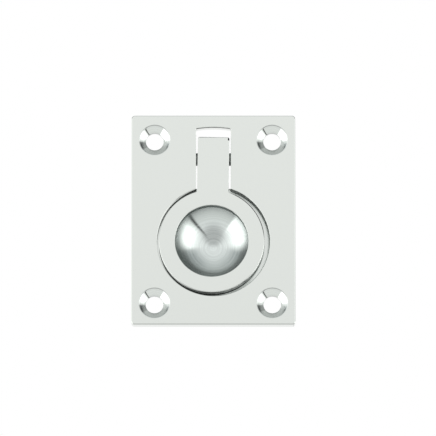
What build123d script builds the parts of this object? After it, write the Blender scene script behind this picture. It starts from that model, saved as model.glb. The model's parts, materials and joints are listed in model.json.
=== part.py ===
from build123d import *
import math
import os

# Flush ring pull for a door, a drawer or a hatch: a cast plate with a cup for the finger,
# a ring that lies flush in the plate, and the pin that the ring turns on.
# Millimetres. The face looks towards -Y and up is +Z. The origin lies on the flange's back
# face, in the middle of the four screw holes.

# Ring
ring_outer_diameter = 30.9
ring_band_width = 4.7
ring_thickness = 3.0
ring_face_chamfer = 0.06
ring_back_chamfer = 0.5

# Stem, which carries the ring below the pin and ends in a tail above it
stem_width = 9.2
neck_length = 10.35
tail_length = 5.5
tail_corner_radius = 0.6
stem_root_radius = 0.6

# How far the ring hangs to the left of the recess's middle and above it. Its stem leans with
# it, and the knuckle stays square to the pin.
ring_hang = 0.5
ring_rise = 0.05

# Pin and the knuckle that turns on it
pin_diameter = 3.8
pin_end_chamfer = 0.3
running_clearance = 0.05
knuckle_wall = 1.1
knuckle_side_step = 0.5
knuckle_flare = 0.6
knuckle_edge_chamfer = 0.3
bore_behind_flange = 0.1

# Play round the ring and its stem
ring_side_clearance = 1.05
ring_seat_clearance = 0.2
stem_side_clearance = 0.52
tail_swing_clearance = 0.67

# Flange, with a border of plain plate round the recess and above the slot
flange_thickness = 3.0
side_border = 7.5
bottom_border = 8.6
top_border = 3.95
plate_corner_radius = 1.0
face_edge_radius = 0.3
mouth_edge_chamfer = 0.1
slot_arch_rise = 0.45
slot_corner_radius = 0.5
slot_root_radius = 0.5

# Countersunk screw holes, each placed from the nearest two edges of the flange
screw_inset_side = 6.8
screw_inset_top = 7.45
screw_inset_bottom = 6.45
screw_hole_diameter = 5.2
countersink_diameter = 9.2
countersink_angle = 90.0

# Cup behind the ring
recess_wall = 2.0
floor_thickness = 2.0
bowl_undercut = 1.0
bowl_depth = 5.5
bowl_wall = 1.5
bowl_rim_chamfer = 0.25
cup_edge_chamfer = 0.7

# Lugs behind the flange, one on each side of the slot, which hold the pin
lug_thickness = 2.4
lug_wall = 2.2
lug_flare = 1.2
lug_edge_chamfer = 0.4

# Radii and widths that follow
ring_radius = ring_outer_diameter / 2
finger_hole_radius = ring_radius - ring_band_width
recess_radius = ring_radius + ring_side_clearance
slot_width = stem_width + 2 * stem_side_clearance
boss_width = slot_width + 2 * lug_thickness
pin_radius = pin_diameter / 2
knuckle_radius = pin_radius + running_clearance + knuckle_wall
lug_radius = pin_radius + lug_wall

# Depths, along Y from the flange's back face
pin_y = bore_behind_flange + pin_radius
floor_y = ring_thickness + ring_seat_clearance - flange_thickness
boss_back_y = floor_y + floor_thickness
bowl_bottom_y = floor_y + bowl_depth

# Heights, worked out from the middles of the ring and the recess up to the pin and the slot's end
ring_centre_to_pin = ring_radius + neck_length
recess_centre_to_pin = ring_centre_to_pin + ring_rise
tail_sweep_radius = math.hypot(pin_y + flange_thickness, tail_length)
recess_centre_to_slot_end = recess_centre_to_pin + tail_sweep_radius + tail_swing_clearance

# Flange outline and the heights in the part's own frame
plate_width = 2 * (recess_radius + side_border)
plate_height = bottom_border + recess_radius + recess_centre_to_slot_end + top_border
screw_span_x = plate_width - 2 * screw_inset_side
screw_span_z = plate_height - screw_inset_top - screw_inset_bottom
plate_bottom_z = -screw_span_z / 2 - screw_inset_bottom
recess_centre_z = plate_bottom_z + bottom_border + recess_radius
pin_z = recess_centre_z + recess_centre_to_pin
ring_centre_z = pin_z - ring_centre_to_pin
tail_end_z = pin_z + tail_length
slot_end_z = recess_centre_z + recess_centre_to_slot_end
slot_foot_z = recess_centre_z + recess_radius
boss_end_z = pin_z + lug_radius + lug_flare

# Angle in degrees by which the ring and its stem lean to the left about the pin
ring_lean = math.degrees(math.asin(ring_hang / ring_centre_to_pin))

# Bowl: a ball's cap, as wide as the ring's hole and a little more, with a wall of even thickness
bowl_mouth_radius = finger_hole_radius + bowl_undercut
bowl_ball_radius = (bowl_mouth_radius**2 + bowl_depth**2) / (2 * bowl_depth)
bowl_centre_y = bowl_bottom_y - bowl_ball_radius
dome_ball_radius = bowl_ball_radius + bowl_wall
dome_foot_radius = math.sqrt(dome_ball_radius**2 - (boss_back_y - bowl_centre_y) ** 2)


def at_recess_centre(shape):
    """Move a shape made round the Y axis to the middle of the recess."""
    return Pos(0, 0, recess_centre_z) * shape


def across_pin(profile, width):
    """Extrude a side profile, drawn in Y and Z, to a width that is centred on the part."""
    return extrude(profile, amount=width / 2, both=True)


def flared_eye(eye_radius, foot_y, flare):
    """Side profile of an eye round the pin, with flanks that spread towards a foot at one depth."""
    half_foot = eye_radius + flare
    foot = Line((foot_y, pin_z - half_foot), (foot_y, pin_z + half_foot))
    eye = Edge.make_circle(eye_radius, Plane.XY.shift_origin((pin_y, pin_z)))
    return Plane.YZ * make_hull([foot.edge(), eye])


def flange():
    """Flat plate with rounded corners and a softened rim on its face."""
    middle = Pos(0, plate_bottom_z + plate_height / 2)
    outline = middle * RectangleRounded(plate_width, plate_height, plate_corner_radius)
    slab = extrude(Plane.XZ * outline, flange_thickness)
    return fillet(slab.faces().sort_by(Axis.Y)[0].edges(), face_edge_radius)


def cup_body():
    """Round boss behind the recess that ends in the dome round the bowl."""
    dome = TangentArc((0, bowl_bottom_y + bowl_wall), (dome_foot_radius, boss_back_y), tangent=(1, 0))
    boss_radius = recess_radius + recess_wall
    rest = Polyline(dome @ 1, (boss_radius, boss_back_y), (boss_radius, 0), (0, 0), dome @ 0)
    profile = make_face(dome + rest)
    outer_corner = profile.vertices().sort_by_distance((boss_radius, boss_back_y))[0]
    return at_recess_centre(revolve(chamfer(outer_corner, cup_edge_chamfer), Axis.Y))


def neck_boss():
    """Straight boss from the cup to above the pin, which deepens the slot's side walls."""
    length = boss_end_z - recess_centre_z
    outline = Pos(0, recess_centre_z + length / 2) * Rectangle(boss_width, length)
    return extrude(Plane.XZ * outline, -boss_back_y)


def lugs():
    """Bar behind the flange that the slot later parts into two lugs."""
    bar = across_pin(flared_eye(lug_radius, 0, lug_flare), boss_width)
    sides = bar.faces().sort_by(Axis.X)
    return chamfer(sides[0].edges() + sides[-1].edges(), lug_edge_chamfer)


def recess_outline():
    """Round recess with the slot for the stem running up from it to an arched end."""
    half = slot_width / 2
    arch = ThreePointArc((half, slot_end_z), (0, slot_end_z + slot_arch_rise), (-half, slot_end_z))
    sides = Polyline(arch @ 1, (-half, recess_centre_z), (half, recess_centre_z), arch @ 0)
    outline = Pos(0, recess_centre_z) * Circle(recess_radius) + make_face(arch + sides)
    outline = fillet(outline.vertices().group_by(Axis.Y)[-1], slot_corner_radius)
    return fillet(outline.vertices().filter_by(is_slot_root), slot_root_radius)


def is_slot_root(vertex):
    """Tell whether a vertex is where the slot's side meets the round recess."""
    on_side = math.isclose(abs(vertex.X), slot_width / 2, abs_tol=1e-4)
    return on_side and vertex.Y < pin_z


def slot_behind_recess():
    """The slot above the round recess, which goes right through."""
    top = slot_end_z + slot_arch_rise
    outline = Pos(0, (slot_foot_z + top) / 2) * Rectangle(slot_width, top - slot_foot_z)
    return outline & recess_outline()


def bowl():
    """Finger bowl, cut as one revolved cap with a broken rim."""
    cap = TangentArc((0, bowl_bottom_y), (bowl_mouth_radius, floor_y), tangent=(1, 0))
    rest = Polyline(cap @ 1, (recess_radius, floor_y), (recess_radius, 0), (0, 0), cap @ 0)
    profile = make_face(cap + rest)
    rim = profile.vertices().sort_by_distance((bowl_mouth_radius, floor_y))[0]
    return at_recess_centre(revolve(chamfer(rim, bowl_rim_chamfer), Axis.Y))


def screw_cut():
    """One countersunk hole, on the Y axis."""
    hole_radius = screw_hole_diameter / 2
    mouth_radius = countersink_diameter / 2
    cone_depth = (mouth_radius - hole_radius) / math.tan(math.radians(countersink_angle / 2))
    front = -2 * flange_thickness
    profile = Polyline(
        (0, front),
        (mouth_radius, front),
        (mouth_radius, -flange_thickness),
        (hole_radius, cone_depth - flange_thickness),
        (hole_radius, flange_thickness),
        (0, flange_thickness),
        close=True,
    )
    return revolve(make_face(profile), Axis.Y)


def screw_cuts():
    """The four screw holes, in a rectangle round the origin."""
    corners = GridLocations(screw_span_x, screw_span_z, 2, 2)
    return [Pos(place.position.X, 0, place.position.Y) * screw_cut() for place in corners]


def pin_cut(radius, width):
    """Cylinder along the pin's axis."""
    return across_pin(Plane.YZ * (Pos(pin_y, pin_z) * Circle(radius)), width)


def make_plate():
    """The casting: flange, cup, neck and lugs, less the recess, the bowl, the slot and the holes."""
    body = flange() + cup_body() + neck_boss() + lugs()
    recess_floor = Plane.XZ.offset(-floor_y)
    body -= extrude(recess_floor * recess_outline(), flange_thickness + floor_y)
    mouth = body.faces().sort_by(Axis.Y)[0].inner_wires()
    body = chamfer(mouth.sort_by(SortBy.LENGTH)[-1].edges(), mouth_edge_chamfer)
    through = lug_radius + pin_y
    body -= extrude(Plane.XZ.offset(-through) * slot_behind_recess(), through + flange_thickness)
    body -= bowl()
    body -= pin_cut(pin_radius, boss_width)
    for hole in screw_cuts():
        body -= hole
    return body


def ring_outline():
    """Face of the ring with its stem and tail."""
    stem_length = tail_end_z - ring_centre_z
    stem = Pos(0, ring_centre_z + stem_length / 2) * Rectangle(stem_width, stem_length)
    outline = Pos(0, ring_centre_z) * Circle(ring_radius) + stem
    outline = fillet(outline.vertices().group_by(Axis.Y)[-1], tail_corner_radius)
    roots = [v for v in outline.vertices() if ring_centre_z < v.Y < pin_z]
    outline = fillet(roots, stem_root_radius)
    outline -= Pos(0, ring_centre_z) * Circle(finger_hole_radius)
    return Pos(0, pin_z) * Rot(Z=-ring_lean) * Pos(0, -pin_z) * outline


def knuckle():
    """Thickening behind the stem that goes round the pin."""
    width = stem_width - 2 * knuckle_side_step
    eye = across_pin(flared_eye(knuckle_radius, -ring_thickness / 2, knuckle_flare), width)
    sides = eye.faces().sort_by(Axis.X)
    return chamfer(sides[0].edges() + sides[-1].edges(), knuckle_edge_chamfer)


def make_ring():
    """Ring, stem, knuckle and tail in one casting, its front flush with the plate's face."""
    back = Plane.XZ.offset(flange_thickness - ring_thickness)
    body = extrude(back * ring_outline(), ring_thickness)
    body = chamfer(body.faces().sort_by(Axis.Y)[0].edges(), ring_face_chamfer)
    body = chamfer(body.faces().sort_by(Axis.Y)[-1].edges(), ring_back_chamfer)
    body += knuckle()
    return body - pin_cut(pin_radius + running_clearance, stem_width)


def make_pin():
    """Plain pin, flush with the outer sides of both lugs."""
    pin = pin_cut(pin_radius, boss_width)
    ends = pin.faces().sort_by(Axis.X)
    return chamfer(ends[0].edges() + ends[-1].edges(), pin_end_chamfer)


nodes = {
    "plate": make_plate,
    "ring": make_ring,
    "hinge_pin": make_pin,
}

os.makedirs("parts", exist_ok=True)
for name, make in nodes.items():
    export_step(make(), f"parts/{name}.step")
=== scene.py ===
import json
import math

import bpy
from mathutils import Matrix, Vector


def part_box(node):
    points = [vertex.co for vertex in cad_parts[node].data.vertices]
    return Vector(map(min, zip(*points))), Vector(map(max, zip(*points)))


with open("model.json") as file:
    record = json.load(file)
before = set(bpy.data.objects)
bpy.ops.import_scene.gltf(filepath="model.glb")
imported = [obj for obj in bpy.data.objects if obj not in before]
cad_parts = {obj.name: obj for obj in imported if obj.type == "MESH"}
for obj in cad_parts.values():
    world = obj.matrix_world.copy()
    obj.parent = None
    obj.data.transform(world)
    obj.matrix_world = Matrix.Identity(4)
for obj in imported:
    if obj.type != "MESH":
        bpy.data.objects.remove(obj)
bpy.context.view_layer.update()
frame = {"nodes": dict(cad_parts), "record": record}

# The flush ring pull seen from a little below its face, in a light tent: plain white behind, a pale card in
# front, light and dark panels round the sides. Metres, in the part's own frame: face towards -Y, up is +Z.

MM = 0.001

# The photograph: its size, its scale at the face, and where the middle of the face lies in it
photo_size_px = 436
photo_px_per_mm = 3.419
face_middle_px = (213.4, 219.7)
view_below_normal = 14.0
camera_distance = 2.78
camera_reach = 100.0
sensor_width_mm = 36.0

# Shape of the part that the finishes follow, as in the CAD
bowl_mouth_radius = 11.75 * MM
bowl_depth = 5.5 * MM
bowl_wall = 1.5 * MM
recess_floor_y = 0.2 * MM
recess_radius = 16.5 * MM
recess_centre_height = 25.1 * MM
countersink_radius = 4.6 * MM
top_border = 3.95 * MM
ring_outer_radius = 15.45 * MM
ring_middle_radius = 13.1 * MM

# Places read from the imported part
plate_low, plate_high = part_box("plate")
recess_centre_z = plate_low.z + recess_centre_height
face_y = plate_low.y
ring_low, ring_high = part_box("ring")
ring_centre_x = (ring_low.x + ring_high.x) / 2
ring_centre_z = ring_low.z + ring_outer_radius
screw_holes = next(m for m in frame["record"]["mounts"] if m["name"] == "screw_holes")
screw_side = screw_holes["dims"]["spacing_x_mm"] * MM / 2
screw_rise = screw_holes["dims"]["spacing_y_mm"] * MM / 2

# How far a mask reaches past the surface that it stands for, or stops short of it
face_margin = 0.003 * MM
floor_margin = 0.02 * MM
back_margin = 0.1 * MM
recess_margin = 1.65 * MM
upright_limit = 0.3

# Edges that buffing has rounded, and how many looks round an edge a rounding takes
edge_samples = 8
face_edge_radius = 0.12 * MM
cast_edge_radius = 0.4 * MM
dull_edge_radius = 0.2 * MM
pin_edge_radius = 0.2 * MM
stem_edge_radius = 0.25 * MM
ring_edge_radius_left = 0.3 * MM
ring_edge_radius_right = 0.5 * MM
floor_corner_radius_left = 0.15 * MM
floor_corner_radius_right = 1.2 * MM
slot_lip_radius = 1.0 * MM
slot_lip_half_width = 5.6 * MM

# Fronts of the round walls that the wheel rolled over, deepest at the far left
lip_depth_left = 2.4 * MM
lip_depth_most = 1.55 * MM
lip_fade = 0.5 * MM

# Painted shade: dark lines along edges, at the ring's upper right rim, the slot's end, the tail's end and
# its right corner
rim_shade_line_width = 0.2 * MM
rim_shade_line_from_middle = (5.06 * MM, 7.36 * MM)
rim_shade_line_rise = 3.86 * MM
slot_shade_line_height = 0.9 * MM
slot_shade_line_depth = 0.9 * MM
tail_shade_line_width = 0.25 * MM
tail_shade_spot_from_middle = 4.25 * MM
tail_shade_spot_below_end = (0.2 * MM, 1.1 * MM)

# Colours of bare and plated metal, and of painted shade and painted light
polish_colour = (0.78, 0.8, 0.775)
floor_colour = (0.72, 0.74, 0.72)
cast_colour = (0.55, 0.56, 0.545)
pin_colour = (0.2, 0.21, 0.205)
# Recess walls: dull plating, darkened further by painted shade in the gap round the ring
recess_wall_dull_and_shade_colour = (0.22, 0.231, 0.2266)
hole_wall_colour = (0.5, 0.525, 0.515)
# Outer wall of the ring and stem: dull plating, with painted shade on the left and painted light on the
# right
ring_wall_painted_shade_left = (0.35, 0.3675, 0.3605)
ring_wall_painted_light_right = (0.88, 0.92, 0.9)
ring_wall_painted_light_width = 4.635 * MM
# Painted shade along edges: dark lines and a dark spot on the ring and tail, and a line at the slot's end
painted_shade_line_colour = (0.02, 0.022, 0.025)
slot_shade_line_colour = (0.05, 0.055, 0.055)
tail_shade_line_colour = (0.5, 0.52, 0.51)

# Grains, each as bumps to the metre, detail, depth and strength
swell_grain = (90, 2.0, 0.02 * MM, 0.05)
cast_grain = (2500, 3.0, 0.06 * MM, 0.5)
dull_grain = (4000, 2.0, 0.03 * MM, 0.4)

# Sheens, each as patches to the metre, detail, and the least and greatest roughness
polish_sheen = (400, 4.0, 0.02, 0.05)
floor_sheen = (400, 4.0, 0.03, 0.07)
cast_sheen = (500, 2.0, 0.3, 0.45)
dull_sheen = (700, 3.0, 0.3, 0.42)
lip_roughness = 0.04
pin_roughness = (0.2, 0.35)

# Share of a noise's whole range that a pattern uses, for soft and for firm patterns
soft_range = (0.3, 0.7)
firm_range = (0.35, 0.65)

# Lines drawn round the pin
pin_lines_per_metre = 4000
pin_line_depth = 0.02 * MM
pin_line_strength = 0.2

# Turned metal: fine rings in tone and in spread, which fade out at the lathe's centre
rings_per_metre = 2000
ring_detail = 3.0
groove_depth = 0.03 * MM
lathe_centre_radii = (0.2 * MM, 2.0 * MM)
turned_tone = (0.725, 0.795)
spread_least = 0.85
spread_most = 1.15

# Countersinks: dished cone with a rolled rim, painted shade at the lower left and a painted highlight at the
# right.
# Sides and rises are shares of the radius, to the right and up.
cone_tint = (0.97, 1.0, 0.98)
cone_spread = 0.08
cone_grooves = 0.05
cone_dish = 0.14
cone_rim_roll = 2.1
cone_rim_widths = (0.3 * MM, 0.1 * MM)
cone_painted_shade = 0.62
cone_painted_shade_sides = (-0.83, -0.73)
cone_painted_shade_rises = (-0.3, -0.02)
cone_painted_highlight = 1.25
cone_painted_highlight_sides = (0.87, 0.95)

# Bowl: painted shade, darker towards its mouth, most of all at the lower left and lower right
bowl_tint = (0.945, 1.0, 0.985)
bowl_spread = 0.15
bowl_grooves = 0.25
bowl_fade_radius = 7.0 * MM
bowl_mouth_painted_shade = 0.75
bowl_low_painted_shade = 0.62
bowl_low_rises = (-0.25, 0.15)
bowl_bottom_painted_shade = 0.8
bowl_bottom_rises = (-1.0, -0.75)
bowl_painted_shade_radii = (7.0 * MM, 8.8 * MM)

# Floor under the part, of pale paper
floor_drop = 1.2
floor_size = 8.0
paper_tone = (300, 2.0, 0.88, 0.89)
paper_roughness = 0.8

# Light tent, as brightness by direction. Round the plate's normal, angles run anticlockwise from the right.
# Away from the normal, the card comes first, then the front ring of panels, the side ring, and the back.
card_colour = (0.975, 0.988, 0.978)
back_below = 0.45
back_above = 1.4
card_to_front = (25.0, 57.0)
front_to_side = (69.0, 90.0)
side_to_back = (106.0, 130.0)
light_level = 0.88
light_tint = (0.98, 1.0, 0.975)
shade_tint = (0.9, 1.0, 1.02)
front_panels = [
    (0, 2.1), (18, 1.55), (26, 0.62), (36, 0.42), (58, 0.47), (80, 0.66), (95, 0.7), (120, 0.6), (146, 0.5),
    (152, 0.6), (165, 1.5), (176, 2.1), (221, 2.1), (226, 0.92), (321, 0.92), (329, 1.4), (336, 2.1),
]
side_panels = [
    (0, 1.05), (4, 0.8), (13, 0.2), (24, 0.04), (48, 0.055), (58, 0.09), (70, 0.13), (82, 0.24), (92, 0.3),
    (102, 0.29), (115, 0.24), (127, 0.18), (138, 0.18), (148, 0.4), (156, 0.7), (168, 0.9), (180, 1.1),
    (221, 1.1), (226, 0.6), (321, 0.6), (329, 0.75), (336, 1.1),
]

# One black gap between panels, and a dimmer patch where the camera stands
gap_colour = (0.0, 0.0, 0.0)
gap_angle = 318.0
gap_half_width = 6.0
gap_from_normal = (14.0, 26.0)
gap_darkness = 0.95
camera_shade = 0.55
camera_shade_angles = (12.0, 30.0)

# White paper behind the part, and the paler grey that the camera sees past its sides
backdrop_angles = (18.0, 38.0)
backdrop_colour = (1.0, 1.0, 1.0)
wall_colour = (0.68, 0.685, 0.69)


def plug(tree, socket, value):
    """Link a socket, or set its own value. A colour is made opaque."""
    if isinstance(value, bpy.types.NodeSocket):
        tree.links.new(value, socket)
    elif socket.type == "RGBA":
        socket.default_value = (*value, 1.0)
    else:
        socket.default_value = value


def add(tree, kind, inputs=None, **settings):
    """Add a node with its settings, and plug its inputs by name or number."""
    made = tree.nodes.new(kind)
    for name, value in settings.items():
        setattr(made, name, value)
    for name, value in (inputs or {}).items():
        plug(tree, made.inputs[name], value)
    return made


def calc(tree, operation, *values):
    """One step of arithmetic."""
    return add(tree, "ShaderNodeMath", dict(enumerate(values)), operation=operation).outputs[0]


def vector_calc(tree, operation, *values):
    """One step of arithmetic on vectors."""
    return add(tree, "ShaderNodeVectorMath", dict(enumerate(values)), operation=operation).outputs[0]


def scaled(tree, colour, factor):
    """A colour made brighter or darker."""
    return add(tree, "ShaderNodeVectorMath", {0: colour, "Scale": factor}, operation="SCALE").outputs[0]


def over(tree, value, limit):
    """Mask of where a value is over its limit."""
    return calc(tree, "GREATER_THAN", value, limit)


def under(tree, value, limit):
    """Mask of where a value is under its limit."""
    return calc(tree, "LESS_THAN", value, limit)


def both(tree, first, *others):
    """Mask of where two or more masks meet."""
    for other in others:
        first = calc(tree, "MULTIPLY", first, other)
    return first


def between(tree, value, low, high, new_low=0.0, new_high=1.0):
    """Blend smoothly from one value to another as the input goes from low to high."""
    inputs = {"Value": value, "From Min": low, "From Max": high, "To Min": new_low, "To Max": new_high}
    return add(tree, "ShaderNodeMapRange", inputs, interpolation_type="SMOOTHSTEP").outputs[0]


def distance(tree, first, second):
    """Length of two steps square to each other."""
    squares = [calc(tree, "MULTIPLY", step, step) for step in (first, second)]
    return calc(tree, "SQRT", calc(tree, "ADD", *squares))


def noise(tree, position, scale, detail):
    """Soft noise from 0 to 1, with so many bumps to the metre."""
    inputs = {"Vector": position, "Scale": scale, "Detail": detail}
    return add(tree, "ShaderNodeTexNoise", inputs).outputs["Fac"]


def lines(tree, along, scale, detail=2.0):
    """Soft lines from 0 to 1 across one measure, with so many to the metre."""
    inputs = {"W": along, "Scale": scale, "Detail": detail}
    return add(tree, "ShaderNodeTexNoise", inputs, noise_dimensions="1D").outputs["Fac"]


def patches(tree, position, pattern):
    """A value that wanders in patches. A pattern is patches to the metre, detail, and two limits."""
    scale, detail, least, most = pattern
    return between(tree, noise(tree, position, scale, detail), *soft_range, least, most)


def firm_patches(tree, position, pattern):
    """The same kind of value smoothed twice, which makes the edges of its patches firm."""
    scale, detail, least, most = pattern
    patch = between(tree, noise(tree, position, scale, detail), *firm_range)
    return between(tree, patch, 0, 1, least, most)


def mix(tree, share, first, second):
    """Blend two finishes by a mask."""
    return add(tree, "ShaderNodeMixShader", {0: share, 1: first, 2: second}).outputs[0]


def blend_colours(tree, share, first, second):
    """Blend two colours by a mask, as the vectors that a mix node takes fifth and sixth."""
    return add(tree, "ShaderNodeMix", {"Factor": share, 4: first, 5: second}, data_type="VECTOR").outputs[1]


def new_material(name):
    """An empty material and its node tree."""
    material = bpy.data.materials.new(name)
    material.use_nodes = True
    material.node_tree.nodes.clear()
    return material, material.node_tree


def object_position(tree):
    """The point being shaded, in the part's frame, whole and as X, Y and Z."""
    position = add(tree, "ShaderNodeTexCoord").outputs["Object"]
    parts = add(tree, "ShaderNodeSeparateXYZ", {"Vector": position}).outputs
    return position, parts["X"], parts["Y"], parts["Z"]


def metal(tree, colour, roughness, normal, **extra):
    """Bare metal with its colour and sheen."""
    inputs = {"Base Color": colour, "Metallic": 1.0, "Roughness": roughness, "Normal": normal, **extra}
    return add(tree, "ShaderNodeBsdfPrincipled", inputs).outputs[0]


def rounded_edges(tree, radius):
    """Normals that treat every edge as rounded to a radius."""
    return add(tree, "ShaderNodeBevel", {"Radius": radius}, samples=edge_samples).outputs[0]


def bump(tree, height, depth, strength, normal):
    """Normals that follow a height pattern."""
    inputs = {"Height": height, "Distance": depth, "Strength": strength, "Normal": normal}
    return add(tree, "ShaderNodeBump", inputs).outputs[0]


def grained(tree, position, grain, radius):
    """Normals of a grain on a surface with rounded edges."""
    scale, detail, depth, strength = grain
    return bump(tree, noise(tree, position, scale, detail), depth, strength, rounded_edges(tree, radius))


def polished_finish(tree, position, radius):
    """Buffed plating: a mirror with a slight swell from the wheel and a breath of haze."""
    normal = grained(tree, position, swell_grain, radius)
    return metal(tree, polish_colour, patches(tree, position, polish_sheen), normal)


def floor_finish(tree, position, across):
    """Floor of the recess, where the wheel polishes less and its corner stays rounded."""
    radii = (floor_corner_radius_left, floor_corner_radius_right)
    radius = between(tree, across, -recess_radius, recess_radius, *radii)
    return metal(tree, floor_colour, patches(tree, position, floor_sheen), rounded_edges(tree, radius))


def cast_finish(tree, position):
    """The unseen back: plated as it was cast, with a fine sandy grain."""
    normal = grained(tree, position, cast_grain, cast_edge_radius)
    return metal(tree, cast_colour, patches(tree, position, cast_sheen), normal)


def dull_and_shade_finish(tree, position, colour):
    """Thin, dull plating in patches, in the given colour: walls and edges that no wheel reached, and the
    painted shade on walls, lines and spots.
    """
    normal = grained(tree, position, dull_grain, dull_edge_radius)
    return metal(tree, colour, firm_patches(tree, position, dull_sheen), normal)


def lip_finish(tree):
    """Front of a wall that the wheel rolled over, lit as the face is."""
    forward = add(tree, "ShaderNodeCombineXYZ", {"Y": -1.0}).outputs[0]
    return metal(tree, polish_colour, lip_roughness, forward)


def turned_finish(tree, across, up, spread, grooves, normal, tint, painted_light):
    """Lathe-turned metal: fine rings that throw each highlight out along the radius, with its tone scaled by
    the painted light and shade passed in.
    """
    radius = distance(tree, across, up)
    outwards = add(tree, "ShaderNodeCombineXYZ", {"X": across, "Z": up}).outputs[0]
    rings = lines(tree, radius, rings_per_metre, ring_detail)
    off_centre = between(tree, radius, *lathe_centre_radii)
    normal = bump(tree, rings, groove_depth, calc(tree, "MULTIPLY", off_centre, grooves), normal)
    roughness = between(tree, rings, *firm_range, spread * spread_least, spread * spread_most)
    tone = calc(tree, "MULTIPLY", between(tree, rings, *firm_range, *turned_tone), painted_light)
    return metal(tree, scaled(tree, tint, tone), roughness, normal, Anisotropic=off_centre, Tangent=outwards)


def leaning_forward(tree, dish):
    """Normals leaned towards the face, as a buffing wheel dishes a cone."""
    lean = add(tree, "ShaderNodeCombineXYZ", {"Y": calc(tree, "MULTIPLY", dish, -1.0)}).outputs[0]
    forward = vector_calc(tree, "ADD", rounded_edges(tree, face_edge_radius), lean)
    return vector_calc(tree, "NORMALIZE", forward)


def towards(tree, position, centre):
    """Normals of a ball's inside: each points at the ball's centre."""
    return vector_calc(tree, "NORMALIZE", vector_calc(tree, "SUBTRACT", centre, position))


def facing(tree):
    """How far the surface turns to the back: -1 on the face, 0 on upright walls, 1 on the back."""
    normal = add(tree, "ShaderNodeTexCoord").outputs["Normal"]
    return add(tree, "ShaderNodeSeparateXYZ", {0: normal}).outputs["Y"]


def upright_mask(tree):
    """Walls square to the face."""
    return under(tree, calc(tree, "ABSOLUTE", facing(tree)), upright_limit)


def left_lip_mask(tree, across, y, radius):
    """Front of a round wall, deep at the far left and gone at the middle."""
    depth = calc(tree, "MULTIPLY", calc(tree, "DIVIDE", across, -radius), lip_depth_left)
    depth = calc(tree, "MINIMUM", depth, lip_depth_most)
    return between(tree, calc(tree, "SUBTRACT", depth, calc(tree, "SUBTRACT", y, face_y)), 0, lip_fade)


def slot_lip_mask(tree, x, y, z, up):
    """Front of the slot's walls, above the recess and below the plate's top edge."""
    near_face = under(tree, y, face_y + slot_lip_radius)
    in_slot = under(tree, calc(tree, "ABSOLUTE", x), slot_lip_half_width)
    in_plate = under(tree, z, plate_high.z - slot_lip_radius)
    return both(tree, upright_mask(tree), near_face, in_slot, in_plate, over(tree, up, recess_radius))


def ball_of_bowl():
    """Radius and depth of the ball that the bowl is part of."""
    radius = (bowl_mouth_radius**2 + bowl_depth**2) / (2 * bowl_depth)
    return radius, recess_floor_y + bowl_depth - radius


def bowl_mask(tree, x, y, up):
    """Inside of the bowl, as deep as the middle of its wall."""
    ball_radius, ball_y = ball_of_bowl()
    from_ball = distance(tree, distance(tree, x, up), calc(tree, "SUBTRACT", y, ball_y))
    in_ball = under(tree, from_ball, ball_radius + bowl_wall / 2)
    return both(tree, in_ball, over(tree, y, recess_floor_y + floor_margin))


def bowl_finish(tree, position, x, up):
    """Turned inside of the bowl, with painted shade that darkens it at its mouth and most of all low down.
    """
    radius = distance(tree, x, up)
    rise = calc(tree, "DIVIDE", up, radius)
    low = between(tree, rise, *bowl_low_rises, bowl_low_painted_shade, 1.0)
    bottom = between(tree, rise, *bowl_bottom_rises, bowl_bottom_painted_shade, bowl_low_painted_shade)
    painted_darkening = calc(tree, "SUBTRACT", 1.0, calc(tree, "MAXIMUM", low, bottom))
    painted_darkening = calc(tree, "MULTIPLY", painted_darkening, between(tree, radius, *bowl_painted_shade_radii))
    painted_light = between(tree, radius, bowl_fade_radius, bowl_mouth_radius, 1.0, bowl_mouth_painted_shade)
    painted_light = calc(tree, "MULTIPLY", painted_light, calc(tree, "SUBTRACT", 1.0, painted_darkening))
    normal = towards(tree, position, (0.0, ball_of_bowl()[1], recess_centre_z))
    return turned_finish(tree, x, up, bowl_spread, bowl_grooves, normal, bowl_tint, painted_light)


def steps_from_hole(tree, x, z):
    """Steps across and up from the middle of the nearest screw hole."""
    steps = []
    for value, middle in ((x, screw_side), (z, screw_rise)):
        outwards = calc(tree, "SUBTRACT", calc(tree, "ABSOLUTE", value), middle)
        steps.append(calc(tree, "MULTIPLY", outwards, calc(tree, "SIGN", value)))
    return steps


def cone_finish(tree, across, up, radius):
    """Turned inside of a countersink, with painted shade at the lower left and a painted highlight at the
    right.
    """
    side = calc(tree, "DIVIDE", across, radius)
    rise = calc(tree, "DIVIDE", up, radius)
    left_painted_shade = between(tree, side, *cone_painted_shade_sides, cone_painted_shade, 1.0)
    left_painted_shade = calc(tree, "MAXIMUM", left_painted_shade, between(tree, rise, *cone_painted_shade_rises))
    right_painted_highlight = between(tree, side, *cone_painted_highlight_sides, 1.0, cone_painted_highlight)
    painted_light = calc(tree, "MULTIPLY", left_painted_shade, right_painted_highlight)
    rim_radii = [countersink_radius - width for width in cone_rim_widths]
    normal = leaning_forward(tree, between(tree, radius, *rim_radii, cone_dish, cone_rim_roll))
    return turned_finish(tree, across, up, cone_spread, cone_grooves, normal, cone_tint, painted_light)


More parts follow.
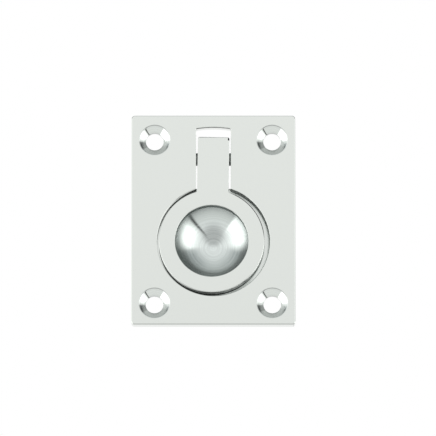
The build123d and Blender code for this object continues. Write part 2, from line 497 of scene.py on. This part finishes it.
def plate_material():
    """Polished face, duller recess, turned bowl and countersinks, cast back, with painted shade on the
    recess walls and at the slot's end, and painted light and shade in the bowl and countersinks.
    """
    material, tree = new_material("polished_plate")
    position, x, y, z = object_position(tree)
    up = calc(tree, "SUBTRACT", z, recess_centre_z)

    slot_lip = slot_lip_mask(tree, x, y, z, up)
    radii = (face_edge_radius, slot_lip_radius)
    face, rolled = [polished_finish(tree, position, radius) for radius in radii]
    in_floor = over(tree, y, recess_floor_y - floor_margin)
    surface = mix(tree, in_floor, mix(tree, slot_lip, face, rolled), floor_finish(tree, position, x))

    hole_across, hole_up = steps_from_hole(tree, x, z)
    from_hole = distance(tree, hole_across, hole_up)
    in_cone = both(tree, under(tree, from_hole, countersink_radius), over(tree, y, face_y + face_margin))
    surface = mix(tree, in_cone, surface, cone_finish(tree, hole_across, hole_up, from_hole))

    # Recess walls: dull plating darkened by painted shade in the gap, their fronts lit as the face is
    wall = dull_and_shade_finish(tree, position, recess_wall_dull_and_shade_colour)
    wall = mix(tree, left_lip_mask(tree, x, y, recess_radius), wall, lip_finish(tree))
    in_recess = under(tree, distance(tree, x, up), recess_radius + recess_margin)
    surface = mix(tree, both(tree, upright_mask(tree), in_recess), surface, wall)

    # Painted shade: a dark line along the front of the slot's end
    at_end = over(tree, z, plate_high.z - top_border - slot_shade_line_height)
    at_front = under(tree, y, face_y + slot_shade_line_depth)
    slot_shade_line = both(tree, slot_lip, at_end, at_front)
    surface = mix(tree, slot_shade_line, surface, dull_and_shade_finish(tree, position, slot_shade_line_colour))

    faces_back = over(tree, facing(tree), upright_limit)
    behind_floor = over(tree, y, recess_floor_y + back_margin)
    at_back = calc(tree, "MAXIMUM", faces_back, behind_floor)
    surface = mix(tree, at_back, surface, cast_finish(tree, position))
    surface = mix(tree, bowl_mask(tree, x, y, up), surface, bowl_finish(tree, position, x, up))
    add(tree, "ShaderNodeOutputMaterial", {"Surface": surface})
    return material


def tail_shade_spot_mask(tree, x, z):
    """Right corner of the tail's end, where a spot of shade is painted."""
    near, far = [ring_high.z - below for below in tail_shade_spot_below_end]
    return both(tree, under(tree, z, near), over(tree, z, far), over(tree, x, tail_shade_spot_from_middle))


def stem_face_finish(tree, position, x, z):
    """Polished front of the stem and tail, with a painted shade line along the tail's end and a painted
    shade spot at its right corner.
    """
    face = polished_finish(tree, position, stem_edge_radius)
    tail_shade_line = over(tree, z, ring_high.z - tail_shade_line_width)
    face = mix(tree, tail_shade_line, face, dull_and_shade_finish(tree, position, tail_shade_line_colour))
    return mix(tree, tail_shade_spot_mask(tree, x, z), face, dull_and_shade_finish(tree, position, painted_shade_line_colour))


def ring_face_finish(tree, position, across, up, from_centre):
    """Polished front of the ring, with a painted shade line along its upper right rim."""
    radius = between(tree, across, 0, ring_outer_radius, ring_edge_radius_left, ring_edge_radius_right)
    face = polished_finish(tree, position, radius)
    beside_stem = between(tree, across, *rim_shade_line_from_middle)
    at_edge = over(tree, from_centre, ring_outer_radius - rim_shade_line_width)
    rim_shade_line = both(tree, beside_stem, between(tree, up, 0, rim_shade_line_rise), at_edge)
    return mix(tree, rim_shade_line, face, dull_and_shade_finish(tree, position, painted_shade_line_colour))


def outer_wall_finish(tree, position, across, y):
    """Outer walls of the ring and stem: dull plating with painted light, darker on the left and lighter on
    the right.
    """
    painted_light_to_right = between(tree, across, 0, ring_wall_painted_light_width)
    colour = blend_colours(tree, painted_light_to_right, ring_wall_painted_shade_left, ring_wall_painted_light_right)
    wall = dull_and_shade_finish(tree, position, colour)
    return mix(tree, left_lip_mask(tree, across, y, ring_outer_radius), wall, lip_finish(tree))


def ring_material():
    """Polished face with a well rounded rim, duller round the sides and the hole, with painted shade lines
    and painted light on the outer walls.
    """
    material, tree = new_material("polished_ring")
    position, x, y, z = object_position(tree)
    across = calc(tree, "SUBTRACT", x, ring_centre_x)
    up = calc(tree, "SUBTRACT", z, ring_centre_z)
    from_centre = distance(tree, across, up)
    outer = over(tree, from_centre, ring_middle_radius)
    rim = both(tree, outer, under(tree, from_centre, ring_outer_radius))

    stem_face = stem_face_finish(tree, position, x, z)
    ring_face = ring_face_finish(tree, position, across, up, from_centre)
    inner_wall = dull_and_shade_finish(tree, position, hole_wall_colour)
    walls = mix(tree, outer, inner_wall, outer_wall_finish(tree, position, across, y))
    surface = mix(tree, upright_mask(tree), mix(tree, rim, stem_face, ring_face), walls)
    add(tree, "ShaderNodeOutputMaterial", {"Surface": surface})
    return material


def pin_material():
    """Drawn steel with faint lines round it."""
    material, tree = new_material("drawn_pin")
    drawn = lines(tree, object_position(tree)[1], pin_lines_per_metre)
    normal = bump(tree, drawn, pin_line_depth, pin_line_strength, rounded_edges(tree, pin_edge_radius))
    surface = metal(tree, pin_colour, between(tree, drawn, *soft_range, *pin_roughness), normal)
    add(tree, "ShaderNodeOutputMaterial", {"Surface": surface})
    return material


def floor_material():
    """Pale matt paper."""
    material, tree = new_material("pale_floor")
    grain = patches(tree, object_position(tree)[0], paper_tone)
    colour = add(tree, "ShaderNodeCombineColor", {0: grain, 1: grain, 2: grain}).outputs[0]
    inputs = {"Base Color": colour, "Roughness": paper_roughness}
    surface = add(tree, "ShaderNodeBsdfPrincipled", inputs).outputs[0]
    add(tree, "ShaderNodeOutputMaterial", {"Surface": surface})
    return material


def dress(node, material):
    """Give a CAD node its finish."""
    for slot in frame["nodes"][node].material_slots:
        slot.material = material


def make_floor():
    """Large pale floor, well below the part."""
    half = floor_size / 2
    level = plate_low.z - floor_drop
    corners = [(-half, -half, level), (half, -half, level), (half, half, level), (-half, half, level)]
    mesh = bpy.data.meshes.new("floor")
    mesh.from_pydata(corners, [], [(0, 1, 2, 3)])
    mesh.materials.append(floor_material())
    floor = bpy.data.objects.new("floor", mesh)
    floor.visible_glossy = False
    bpy.context.scene.collection.objects.link(floor)


def beyond(tree, nearness, angles):
    """Rise from 0 to 1 as a direction leaves an axis, between two angles."""
    near, far = [-math.cos(math.radians(angle)) for angle in angles]
    return between(tree, calc(tree, "MULTIPLY", nearness, -1.0), near, far)


def panels(tree, share, stops):
    """Brightness round the normal, as a ramp through the listed panels."""
    ramp = add(tree, "ShaderNodeValToRGB", {"Fac": share})
    marks = ramp.color_ramp.elements
    marks.remove(marks[1])
    brightest = max(level for _, level in stops)
    for number, (angle, level) in enumerate(stops):
        mark = marks.new(angle / 360) if number else marks[0]
        tint = Vector(shade_tint).lerp(Vector(light_tint), min(1.0, level / light_level))
        mark.color = (*(tint * level / brightest), 1)
    return scaled(tree, ramp.outputs[0], brightest)


def turn_round_normal(tree, parts):
    """Angle of a direction round the plate's normal, as a share of a full turn from the right."""
    left, down = [calc(tree, "MULTIPLY", parts[axis], -1.0) for axis in "XZ"]
    turn = calc(tree, "DIVIDE", calc(tree, "ARCTAN2", down, left), 2 * math.pi)
    return calc(tree, "ADD", turn, 0.5)


def panel_light(tree, share, forward, height):
    """Card, front ring, side ring and back of the tent."""
    front, side = [panels(tree, share, stops) for stops in (front_panels, side_panels)]
    rings = blend_colours(tree, beyond(tree, forward, front_to_side), front, side)
    back = between(tree, height, -1.0, 1.0, back_below, back_above)
    rings = blend_colours(tree, beyond(tree, forward, side_to_back), rings, back)
    return blend_colours(tree, beyond(tree, forward, card_to_front), card_colour, rings)


def gap_mask(tree, share, forward):
    """The gap between two panels, at one angle round the normal."""
    off_gap = calc(tree, "ABSOLUTE", calc(tree, "SUBTRACT", share, gap_angle / 360))
    in_gap = between(tree, off_gap, 0, gap_half_width / 360, gap_darkness, 0)
    return calc(tree, "MULTIPLY", in_gap, beyond(tree, forward, gap_from_normal))


def way_to_camera():
    """Direction from the part to the camera."""
    below = math.radians(view_below_normal)
    return Vector((0, -math.cos(below), -math.sin(below)))


def make_tent():
    """Studio light as a world, and plain white or pale grey where the camera looks past the part."""
    world = bpy.data.worlds.new("tent")
    bpy.context.scene.world = world
    world.use_nodes = True
    tree = world.node_tree
    tree.nodes.clear()
    direction = add(tree, "ShaderNodeTexCoord").outputs["Generated"]
    parts = add(tree, "ShaderNodeSeparateXYZ", {0: direction}).outputs
    share = turn_round_normal(tree, parts)
    forward = calc(tree, "MULTIPLY", parts["Y"], -1.0)
    off_backdrop = beyond(tree, parts["Y"], backdrop_angles)

    tent = blend_colours(tree, off_backdrop, backdrop_colour, panel_light(tree, share, forward, parts["Z"]))
    tent = blend_colours(tree, gap_mask(tree, share, forward), tent, gap_colour)
    to_camera = {0: direction, 1: way_to_camera()}
    nearness = add(tree, "ShaderNodeVectorMath", to_camera, operation="DOT_PRODUCT").outputs["Value"]
    dimmed = scaled(tree, tent, camera_shade)
    tent = blend_colours(tree, beyond(tree, nearness, camera_shade_angles), dimmed, tent)

    seen = add(tree, "ShaderNodeLightPath").outputs["Is Camera Ray"]
    past = blend_colours(tree, off_backdrop, backdrop_colour, wall_colour)
    shown = blend_colours(tree, seen, tent, past)
    background = add(tree, "ShaderNodeBackground", {"Color": shown}).outputs[0]
    add(tree, "ShaderNodeOutputWorld", {"Surface": background})


def make_camera():
    """Long lens from below the face's normal, framed as the photograph is."""
    back = way_to_camera()
    right = Vector((1, 0, 0))
    up = back.cross(right)
    middle = photo_size_px / 2
    metres_per_px = MM / photo_px_per_mm
    aim = Vector(((plate_low.x + plate_high.x) / 2, face_y, (plate_low.z + plate_high.z) / 2))
    aim += right * (middle - face_middle_px[0]) * metres_per_px
    aim += up * (face_middle_px[1] - middle) * metres_per_px
    data = bpy.data.cameras.new("camera")
    data.sensor_width = sensor_width_mm
    data.lens = sensor_width_mm * camera_distance / (photo_size_px * metres_per_px)
    data.clip_end = camera_reach
    camera = bpy.data.objects.new("camera", data)
    camera.location = aim + back * camera_distance
    camera.rotation_euler = (-back).to_track_quat("-Z", "Y").to_euler()
    bpy.context.scene.collection.objects.link(camera)
    bpy.context.scene.camera = camera


dress("plate", plate_material())
dress("ring", ring_material())
dress("hinge_pin", pin_material())
make_floor()
make_tent()
make_camera()
bpy.context.scene.view_settings.view_transform = "Standard"
